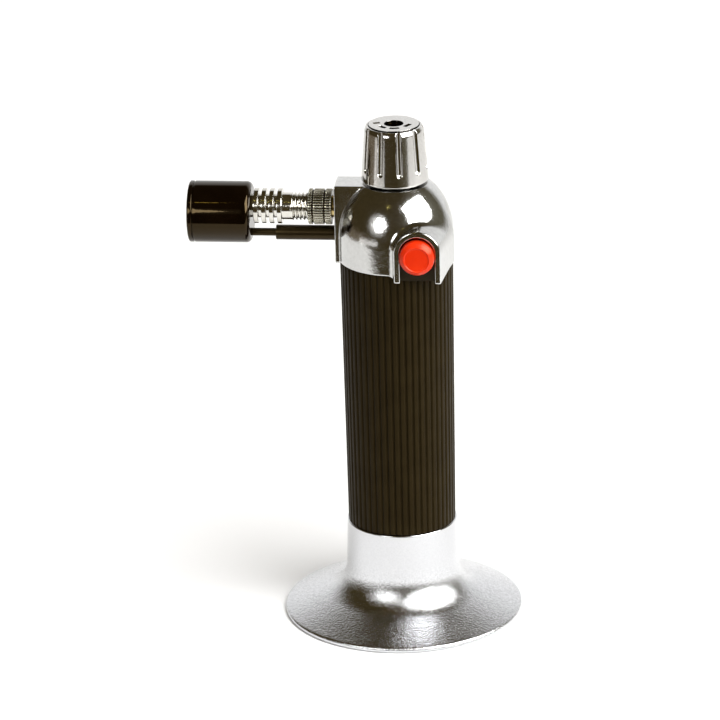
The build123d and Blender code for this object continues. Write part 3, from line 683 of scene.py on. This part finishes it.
def dome_field(x, y, z, shrink=0.0):
    """Signed distance, near the surface, to the cylinder topped by an elliptic dome."""
    a, b = HEAD_R - shrink, DOME_RISE - shrink
    r = np.hypot(x, y)
    up = np.maximum(z - DOME_Z, 0.0)
    e = np.sqrt((r / a) ** 2 + (up / b) ** 2)
    e = np.maximum(e, 1e-6)
    slope = np.sqrt((r / a**2) ** 2 + (up / b**2) ** 2) / e
    return (e - 1) / np.maximum(slope, 1e-3)


def arch_field(x, z, r):
    """Distance in the XZ plane to the arch round the button, open downwards."""
    off = np.abs(x - BUTTON_X)
    return np.where(z > BOSS_ARCH_Z, np.hypot(x - BUTTON_X, z - BOSS_ARCH_Z), off) - r


def nozzle_block_field(x, y, z):
    """Distance to the block that carries the burner, with small upright edges and a rounded top edge."""
    half_x, half_y = (BLOCK_INNER_X - head_lo[0]) / 2 - BLOCK_EDGE, BLOCK_HALF_Y - BLOCK_EDGE
    dx = np.abs(x - (BLOCK_INNER_X + head_lo[0]) / 2) - half_x
    dy = np.abs(y) - half_y
    outside = np.hypot(np.maximum(dx, 0), np.maximum(dy, 0))
    across = outside + np.minimum(np.maximum(dx, dy), 0) - BLOCK_EDGE
    return soft_max(soft_max(across, z - BLOCK_TOP, BLOCK_TOP_EDGE), BLOCK_FOOT - z, BLOCK_FOOT_EDGE)


def head_field(x, y, z):
    """Signed distance, near the surface, to the whole head."""
    r = np.hypot(x, y)
    drop = DROP * np.clip((z - DROP_FROM_Z) / DROP_OVER, 0, 1) ** 2
    neck = np.maximum(r - NECK_R, DOME_TOP_Z - NECK_RISE - z)
    body = soft_min(dome_field(x, y, z + drop), neck, NECK_FILLET)
    body = soft_max(body, z - head_hi[2], TOP_EDGE)
    body = soft_max(body, HEAD_FOOT - z, FOOT_EDGE)
    d = soft_min(body, nozzle_block_field(x, y, z), BLOCK_FILLET)

    outer_arch = arch_field(x, z, BOSS_R + BOSS_DRAFT * (y - head_lo[1]))
    boss = soft_max(outer_arch, head_lo[1] - y, BOSS_FRONT_EDGE)
    boss = np.maximum(boss, y - BLOCK_INNER_X)
    foot = head_lo[2] + (y - head_lo[1]) * BOSS_FOOT_SLOPE
    boss = soft_max(boss, foot - z, BOSS_FOOT_EDGE)
    d = soft_min(d, boss, BOSS_FILLET)
    pocket = np.maximum(arch_field(x, z, BOSS_INNER_R), y - POCKET_Y)
    d = soft_max(d, -pocket, POCKET_EDGE)

    d = np.maximum(d, -np.maximum(r - GRIP_R1 - GRIP_GAP, z - HEAD_FOOT))
    d = np.maximum(d, -np.maximum(r - HEAD_BORE_R, z - HEAD_BORE_TOP))
    ends = np.maximum(z - head_hi[2] + HEAD_TOP_WALL, HEAD_FOOT + HEAD_FOOT_WALL - z)
    cavity = np.maximum(dome_field(x, y, z, HEAD_WALL), ends)
    d = np.maximum(d, -cavity)

    d = soft_max(d, SPINDLE_BORE_R - r, BORE_EDGE)
    for bore_z, bore_r in ((BURNER_Z, JET_BORE_R), (ELECTRODE_Z, WIRE_BORE_R)):
        bore = np.maximum(np.hypot(y, z - bore_z) - bore_r, x - SIDE_BORE_X)
        d = soft_max(d, -bore, BORE_EDGE)
    return d


def head():
    pad = 1.0
    verts, faces, normals = net(head_field, head_lo - pad, head_hi + pad, HEAD_CELL)
    piece("head_shell", verts, faces, "torch", "polished_chrome", ["head_housing"],
          look="cast_chrome", normals=normals)


head()


# ---- knob ----------------------------------------------------------------------------
FLUTE_COUNT = 10
FLUTE_R = 0.95
FLUTE_AXIS_OUT = 0.25  # how far outside the side a flute's axis lies
FLUTE_EDGE = 0.12
FLUTE_FOOT = 138.7
FLUTE_PHASE = math.radians(14.5 - 90.0)
KNOB_R0 = 9.85
KNOB_R1 = 8.5
KNOB_FACE_R = 7.3
KNOB_RIM_R = 8.02
KNOB_RIM_DROP = 0.34
KNOB_SHOULDER_DROP = 1.35
KNOB_HOLE_R = 2.8
MARK_R = 4.5
MARK_HALF = 0.62
MARK_DEPTH = 0.7
MARK_STEEPNESS = 1.6


def knob_marks(x, y):
    """Depth, from 0 to 1, of the grooves in the knob's top: a broken arc, a dash and a slanting stroke."""
    r, a = np.hypot(x, y), np.degrees(np.arctan2(y, x))
    middle, half_angle, gap = -108, 44, 7
    off = np.abs(a - middle)
    ends = np.maximum(off - half_angle, gap - off) * math.radians(MARK_R)
    arc_mark = np.maximum(np.abs(r - MARK_R), ends + MARK_HALF)

    def bar(cx, cy, angle, length):
        """Distance from the middle line of a straight stroke."""
        c, s = math.cos(math.radians(angle)), math.sin(math.radians(angle))
        u = (x - cx) * c + (y - cy) * s
        v = -(x - cx) * s + (y - cy) * c
        return np.maximum(np.abs(u) - length / 2 + MARK_HALF, np.abs(v))
    dash = bar(-5.0, 0.2, 20, 2.0)
    stroke = bar(4.1, -1.6, 58, 2.8)
    d = np.minimum(np.minimum(arc_mark, dash), stroke)
    return np.clip(MARK_STEEPNESS - MARK_STEEPNESS * np.maximum(d, 0) / MARK_HALF, 0, 1)


def flutes(t, r, h):
    """Cuts the round-bottomed flutes in the side and the bevel, and the marks in the top."""
    step = 2 * math.pi / FLUTE_COUNT
    off = (t - FLUTE_PHASE + step / 2) % step - step / 2
    side = KNOB_R0 + (KNOB_R1 - KNOB_R0) * (h - knob_lo[2]) / (knob_hi[2] - knob_lo[2])
    axis_r = side + FLUTE_AXIS_OUT
    end_z = FLUTE_FOOT + FLUTE_R
    below = np.maximum(end_z - h, 0.0)
    reach = np.maximum(FLUTE_R**2 - below**2 - (axis_r * np.sin(off)) ** 2, 0.0)
    floor = axis_r * np.cos(off) - np.sqrt(reach)
    cut = (reach > 0) & (r > KNOB_FACE_R + 0.02)
    smooth = -soft_max(-r, -floor, FLUTE_EDGE)
    r = np.where(cut, np.minimum(r, smooth), r)
    top = h > knob_hi[2] - 1e-6
    depth = knob_marks(r * np.cos(t), r * np.sin(t))
    return r, h - np.where(top, MARK_DEPTH * depth, 0.0)


def knob():
    hollow_r, hollow_z = 7.0, 139.6
    hole_z = spindle_hi[2] - 1.2
    shaft_r = 2.2
    rim_z = knob_hi[2] - KNOB_RIM_DROP
    side_slope = (KNOB_R0 - KNOB_R1) / (knob_hi[2] - knob_lo[2])
    shoulder_z = knob_hi[2] - KNOB_SHOULDER_DROP
    start = (shaft_r, hole_z - 4.0)  # in the middle of the shaft's wall, so that the outline closes there
    outline = round_corners(
        [start, (shaft_r, hollow_z), (hollow_r, hollow_z), (hollow_r, knob_lo[2]), (KNOB_R0, knob_lo[2]),
         (KNOB_R1 + side_slope * KNOB_SHOULDER_DROP, shoulder_z), (KNOB_RIM_R, rim_z),
         (KNOB_FACE_R, rim_z), (KNOB_FACE_R, knob_hi[2]), (KNOB_HOLE_R, knob_hi[2]),
         (KNOB_HOLE_R, hole_z), (shaft_r, hole_z), start],
        [0, 0, 0.2, 0.2, 0.6, 3.5, 0.35, 0, 0.08, 0.15, 0.1, 0, 0], 6)
    verts, faces = lathe(refine(outline, 0.14)[:-1], FLUTE_COUNT * 72, flutes, closed=True)
    piece("gas_knob_fluted", verts, faces, "knob", "polished_chrome", ["gas_knob"],
          look="knob_chrome", sharp=60)


knob()


# ---- burner -------------------------------------------------------------------------
KNURL_COUNT = 40
KNURL_DEPTH = 0.34
KNURL_FROM_R = 4.7
RING_BORE_R = 3.45
RING_BORE_END = 21.3
RING_COUNTERBORE_R = 4.13
RING_GROOVES = (20.5, 23.9)
RING_GROOVE_DEPTH = 0.42
THREAD_START = 25.0
THREAD_END = 30.4
THREAD_PITCH = 1.1
THREAD_DEPTH = 0.6
THREAD_R = 4.05
THREAD_FROM_R = 3.75
THREAD_NOTCH_AT = 26.45  # where a groove crosses the underside
PLAIN_R = 3.95
TUBE_BORE_R = 2.3
SOCKET_R = 3.15
SOCKET_END = 23.0
FIN_R = 5.15
FIN_CORE_R = 3.5
FINS = [(33.0 + 2.3 * i, 34.3 + 2.3 * i) for i in range(4)]
GUARD_WALL = 1.1
GUARD_BACK = 1.6
GUARD_GROOVE_DEPTH = 0.32


def knurl(t, r, h):
    """Straight knurling on the ring's outside."""
    wave = np.abs(((t * KNURL_COUNT / (2 * math.pi)) % 1.0) - 0.5) * 2
    ridge = np.clip((wave - 0.15) / 0.4, 0, 1)
    outside = np.clip((r - KNURL_FROM_R) / 0.1, 0, 1)
    return r - KNURL_DEPTH * (1 - ridge) * outside, h


def air_ring():
    near, far = -ring_hi[0], -ring_lo[0]
    out = (ring_hi[2] - ring_lo[2]) / 2
    low = out - RING_GROOVE_DEPTH
    points, radii = [(RING_BORE_R, near), (out, near)], [0, 0.25]
    for middle in RING_GROOVES:
        for r, d in ((out, -0.3), (low, -0.22), (low, 0.22), (out, 0.3)):
            points.append((r, middle + d))
            radii.append(0.08)
    points += [(out, far), (RING_COUNTERBORE_R, far), (RING_COUNTERBORE_R, RING_BORE_END),
               (RING_BORE_R, RING_BORE_END)]
    radii += [0.25, 0.15, 0, 0]
    outline = refine(round_corners(points, radii, 3), 0.5)
    verts, faces = lathe(outline, KNURL_COUNT * 12, knurl, closed=True)
    piece("air_ring_knurled", along_burner(BURNER_Z)(verts), faces, "air_ring", "nickel_plate",
          ["air_ring"], look="knurled_nickel", sharp=50)


air_ring()


def thread(t, r, h):
    """Right-hand thread between the ring and the plain collar."""
    phase = ((h - THREAD_NOTCH_AT) / THREAD_PITCH - t / (2 * math.pi) - 0.5) % 1.0
    wave = np.abs(phase - 0.5) * 2
    groove = np.clip(1 - wave * 1.35, 0, 1)
    fade = np.clip((h - THREAD_START) / 0.3, 0, 1) * np.clip((THREAD_END - h) / 0.9, 0, 1)
    outside = np.clip((r - THREAD_FROM_R) / 0.05, 0, 1)
    return r - THREAD_DEPTH * groove * fade * outside, h


def burner_tube():
    near, far = -tube_hi[0], -tube_lo[0]
    points = [(TUBE_BORE_R, SOCKET_END), (SOCKET_R, SOCKET_END), (SOCKET_R, near), (THREAD_R, near),
              (THREAD_R, THREAD_END - 0.1), (PLAIN_R, THREAD_END + 0.1), (PLAIN_R, FINS[0][0])]
    radii = [0, 0, 0, 0.1, 0.1, 0.1, 0.12]
    for i, (a, b) in enumerate(FINS):
        core_end = far if i == len(FINS) - 1 else FINS[i + 1][0]
        points += [(FIN_R, a), (FIN_R, b), (FIN_CORE_R, b), (FIN_CORE_R, core_end)]
        radii += [0.1, 0.1, 0.15, 0.15]
    points += [(TUBE_BORE_R, far), (TUBE_BORE_R, SOCKET_END)]
    radii += [0.1, 0]
    outline = refine(round_corners(points, radii, 4), 0.12)
    verts, faces = lathe(outline[:-1], 192, thread, closed=True)
    piece("burner_tube_finned", along_burner(BURNER_Z)(verts), faces, "torch", "nickel_plate",
          ["burner_tube"], sharp=50)


burner_tube()


def flame_guard():
    out = (guard_hi[1] - guard_lo[1]) / 2
    inner, low = out - GUARD_WALL, out - GUARD_GROOVE_DEPTH
    near, far = -guard_hi[0], -guard_lo[0]
    back = near + GUARD_BACK
    points = [(0.0, near), (out, near), (out, far - 1.8), (low, far - 1.72), (low, far - 1.5),
              (out, far - 1.3), (out, far), (inner, far), (inner, back), (0.0, back)]
    outline = round_corners(points, [0, 1.6, 0.06, 0.05, 0.1, 0.5, 0.5, 0.25, 0.4, 0], 8)
    verts, faces = lathe(refine(outline, 1.0), 256)
    piece("flame_guard_shell", along_burner(GUARD_Z)(verts), faces, "torch", "black_enamel",
          ["flame_guard"], sharp=50)


flame_guard()


def electrode_tube(name, node, edge, bore):
    """Black tube under the burner, as long and thick as its CAD node, with rounded ends."""
    lo, hi = span(node)
    r, near, far = (hi[2] - lo[2]) / 2, -hi[0], -lo[0]
    outline = round_corners([(bore, near), (r, near), (r, far), (bore, far)], [0, edge, edge, 0], 5)
    verts, faces = lathe(refine(outline, 1.5), 96, closed=True)
    piece(name, along_burner(ELECTRODE_Z)(verts), faces, "torch", "black_insulator", [node], sharp=50)


electrode_tube("electrode_sleeve_tube", "electrode_sleeve", 0.12, 1.15)
electrode_tube("electrode_insulator_tube", "electrode_insulator", 0.2, 0.5)


# ---- button -------------------------------------------------------------------------
BUTTON_DISH = 0.2
BUTTON_CAP = 3.9
BUTTON_STEM_R = 2.5


def button():
    face, end = button_lo[1], button_hi[1]
    dish, cap_end = face + BUTTON_DISH, face + BUTTON_CAP
    rim = BUTTON_R - 1.25
    points = [(0.0, dish), (rim - 0.4, dish), (rim - 0.15, face), (rim, face),
              (BUTTON_R - 0.2, face + 0.75), (BUTTON_R, face + 1.4), (BUTTON_R, cap_end),
              (BUTTON_STEM_R, cap_end), (BUTTON_STEM_R, end), (0.0, end)]
    outline = round_corners(points, [0, 0.2, 0.15, 0.2, 0.6, 0.4, 0.2, 0, 0.2, 0], 8)
    verts, faces = lathe(refine(outline, 0.8), 160)
    piece("igniter_button_cap", facing_front(BUTTON_X, BUTTON_Z)(verts), faces, "button",
          "orange_plastic", ["igniter_button"], sharp=60)


button()


# ---- springs --------------------------------------------------------------------------
WIRE_R = 0.25
WIRE_SIDES = 12
WIRE_STEPS = 32  # points along one turn


def spring(name, node, turns, axis):
    """Compression spring with closed ends."""
    lo, hi = span(node)
    base = (lo + hi) / 2
    base[axis] = lo[axis]
    mean_r = (hi[0] - lo[0]) / 2 - WIRE_R
    length = hi[axis] - lo[axis]
    t = np.linspace(0, turns, turns * WIRE_STEPS + 1)
    end_rise = 2 * WIRE_R / (length - 2 * WIRE_R)
    rise = np.interp(t, [0, 1, turns - 1, turns], [0, end_rise, 1 - end_rise, 1])
    height = WIRE_R + rise * (length - 2 * WIRE_R)
    angle = 2 * math.pi * t
    out = np.stack([np.cos(angle), np.sin(angle), 0 * angle], -1)
    line = out * mean_r + np.stack([0 * t, 0 * t, height], -1)
    thick = np.full(len(t), WIRE_R)
    # the ends close on a point
    line = np.concatenate([line[:1], line, line[-1:]])
    out = np.concatenate([out[:1], out, out[-1:]])
    thick = np.concatenate([[0.0], thick, [0.0]])
    a = np.linspace(0, 2 * math.pi, WIRE_SIDES, endpoint=False)
    up = np.array([0.0, 0.0, 1.0])
    rings = line[:, None] + thick[:, None, None] * (
        np.cos(a)[None, :, None] * out[:, None] + np.sin(a)[None, :, None] * up)
    faces = []
    for i in range(len(line) - 1):
        k = i * WIRE_SIDES + np.arange(WIRE_SIDES)
        faces.append(np.stack([k, np.roll(k, -1), np.roll(k, -1) + WIRE_SIDES, k + WIRE_SIDES], -1))
    verts = rings.reshape(-1, 3)
    if axis == 1:
        verts = np.stack([verts[:, 0], verts[:, 2], -verts[:, 1]], -1)
    obj = piece(name, verts + base, np.concatenate(faces), "torch", "spring_steel", [node], sharp=60)
    along, anchor = [0.0, 0.0, 0.0], base * MM
    along[axis] = 1.0
    anchor[axis] = hi[axis] * MM
    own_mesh(obj)


spring("piezo_spring_wire", "piezo_spring", 9, 1)
spring("fill_valve_spring_wire", "fill_valve_spring", 7, 2)


# ---- floor, light and camera, in metres -----------------------------------------------
WARM_DARK = (0.060, 0.044, 0.018)
RIGHT_WALL = (0.17, 0.155, 0.11)
LEFT_WALL = (0.26, 0.21, 0.15)
BACKDROP = (1.12, 1.12, 1.12)
FLOOR_LEFT, FLOOR_RIGHT, FLOOR_BACK = -0.52, 1.6, 2.4
FLOOR_FRONT = -0.24       # ahead of the torch,
FLOOR_SLANT_X = 0.05      # from here the front edge slants away from it
FLOOR_FRONT_RIGHT = -0.8  # to this on the right
LENS_MM = 240.0
SENSOR_MM = 36.0
VIEW_TURN, VIEW_ABOVE, VIEW_ROLL = 6.2975, 21.3625, -1.4275  # degrees
CAMERA_AT = (0.13309, -1.31026, 0.59425)


def floor():
    """Plain pale floor that ends in front of the torch, where the studio is dark."""
    corners = [(FLOOR_LEFT, FLOOR_FRONT, 0), (FLOOR_SLANT_X, FLOOR_FRONT, 0),
               (FLOOR_RIGHT, FLOOR_FRONT_RIGHT, 0), (FLOOR_RIGHT, FLOOR_BACK, 0), (FLOOR_LEFT, FLOOR_BACK, 0)]
    mesh = bpy.data.meshes.new("floor")
    mesh.from_pydata(corners, [], [tuple(range(len(corners)))])
    obj = bpy.data.objects.new("floor", mesh)
    bpy.context.scene.collection.objects.link(obj)
    s = Shader("floor_white")
    s.set(Roughness=0.8, Specular_IOR_Level=0.1)
    s.paint(s.ramp(s.noise(3), 0.90, 0.92))
    mesh.materials.append(s.mat)


def world():
    """White backdrop behind the torch, and a dim warm room on the other sides.

    The camera itself sees plain white. Only the torch and the floor see the room.
    """
    w = bpy.data.worlds.new("studio")
    bpy.context.scene.world = w
    w.use_nodes = True
    w.node_tree.nodes.clear()
    n = Nodes(w.node_tree)
    split = n.node("ShaderNodeSeparateXYZ")
    n.feed(split.inputs["Vector"], n.node("ShaderNodeTexCoord").outputs["Generated"])
    x, y, z = (split.outputs[axis] for axis in "XYZ")  # of the direction looked in
    behind = n.map_range(y, 0.55, 0.80, interpolation_type="SMOOTHSTEP")
    under_top = n.map_range(z, 0.80, 0.62, interpolation_type="SMOOTHSTEP")
    low = n.map_range(z, 0.02, -0.10, high=0.7)
    left = n.map_range(x, -0.65, -0.95)
    walls = n.mix(n.map_range(x, 0.2, 1.0), WARM_DARK, RIGHT_WALL)
    walls = n.mix(n.maths("MULTIPLY", low, left), walls, LEFT_WALL)
    whole = n.mix(n.maths("MULTIPLY", behind, under_top), walls, BACKDROP)
    room = n.node("ShaderNodeBackground")
    n.feed(room.inputs["Color"], whole)
    white = n.node("ShaderNodeBackground")
    n.feed(white.inputs["Color"], colour(1.0))
    seen = n.node("ShaderNodeMixShader")
    n.feed(seen.inputs["Fac"], n.node("ShaderNodeLightPath").outputs["Is Camera Ray"])
    n.feed(seen.inputs[1], room.outputs["Background"])
    n.feed(seen.inputs[2], white.outputs["Background"])
    n.feed(n.node("ShaderNodeOutputWorld").inputs["Surface"], seen.outputs["Shader"])


def softbox(name, turn, reach, height, aim_z, width, tall, radiance, tint=(1, 1, 1), shape="RECTANGLE",
            diffuse=True, glossy=True):
    """Area light at a bearing from the front, in degrees, + to the right, that faces the torch.

    diffuse and glossy say whether it lights surfaces and whether they mirror it.
    """
    data = bpy.data.lights.new(name, "AREA")
    data.shape = shape
    data.size, data.size_y = width, tall
    data.energy = radiance * math.pi * width * tall
    data.color = tint
    obj = bpy.data.objects.new(name, data)
    bearing = math.radians(turn)
    place = Vector((reach * math.sin(bearing), -reach * math.cos(bearing), height))
    obj.location = place
    obj.rotation_euler = (Vector((0, 0, aim_z)) - place).to_track_quat("-Z", "Y").to_euler()
    bpy.context.scene.collection.objects.link(obj)
    obj.visible_camera = False
    obj.visible_diffuse = diffuse
    obj.visible_glossy = glossy


def ceiling():
    """Even light from above that keeps the floor white and isn't mirrored in the chrome."""
    data = bpy.data.lights.new("ceiling", "SUN")
    data.energy = 3.4
    data.angle = math.radians(50)
    obj = bpy.data.objects.new("ceiling", data)
    obj.rotation_euler = Vector((-0.36, 0.50, -1)).to_track_quat("-Z", "Y").to_euler()
    bpy.context.scene.collection.objects.link(obj)
    obj.visible_glossy = False


def camera():
    """Long lens, from a little above and to the right of the torch."""
    data = bpy.data.cameras.new("camera")
    data.lens = LENS_MM
    data.sensor_width = SENSOR_MM
    data.clip_start, data.clip_end = 0.05, 20.0
    obj = bpy.data.objects.new("camera", data)
    bpy.context.scene.collection.objects.link(obj)
    turned = Matrix.Rotation(math.radians(VIEW_TURN), 4, "Z")
    raised = Matrix.Rotation(math.radians(90.0 - VIEW_ABOVE), 4, "X")
    rolled = Matrix.Rotation(math.radians(VIEW_ROLL), 4, "Z")
    obj.matrix_world = Matrix.Translation(Vector(CAMERA_AT)) @ turned @ raised @ rolled
    bpy.context.scene.camera = obj


floor()
world()
ceiling()
# name, bearing, distance, height, height it aims at, width, height of the panel, radiance
softbox("left_box", -28, 0.36, 0.24, 0.09, 0.16, 0.13, 6.0, shape="ELLIPSE", diffuse=False)
for glow, size in enumerate((1.3, 1.6, 1.9)):
    softbox(f"left_glow_{glow}", -33, 0.37 + 0.01 * glow, 0.24, 0.09, 0.16 * size, 0.13 * size, 0.16,
            shape="ELLIPSE", diffuse=False)
softbox("right_box", 64, 0.47, 0.42, 0.09, 0.54, 0.46, 4.2, glossy=False)
softbox("right_mirror", 64, 0.46, 0.42, 0.09, 0.54, 0.46, 12.0, diffuse=False)
softbox("left_card", -50, 0.40, 0.047, 0.04, 0.28, 0.055, 0.9, diffuse=False)
softbox("warm_lamp", -17, 0.80, 1.10, 0.12, 0.035, 0.035, 10.0, (1.0, 0.85, 0.25))
camera()
bpy.context.scene.view_settings.view_transform = "Standard"
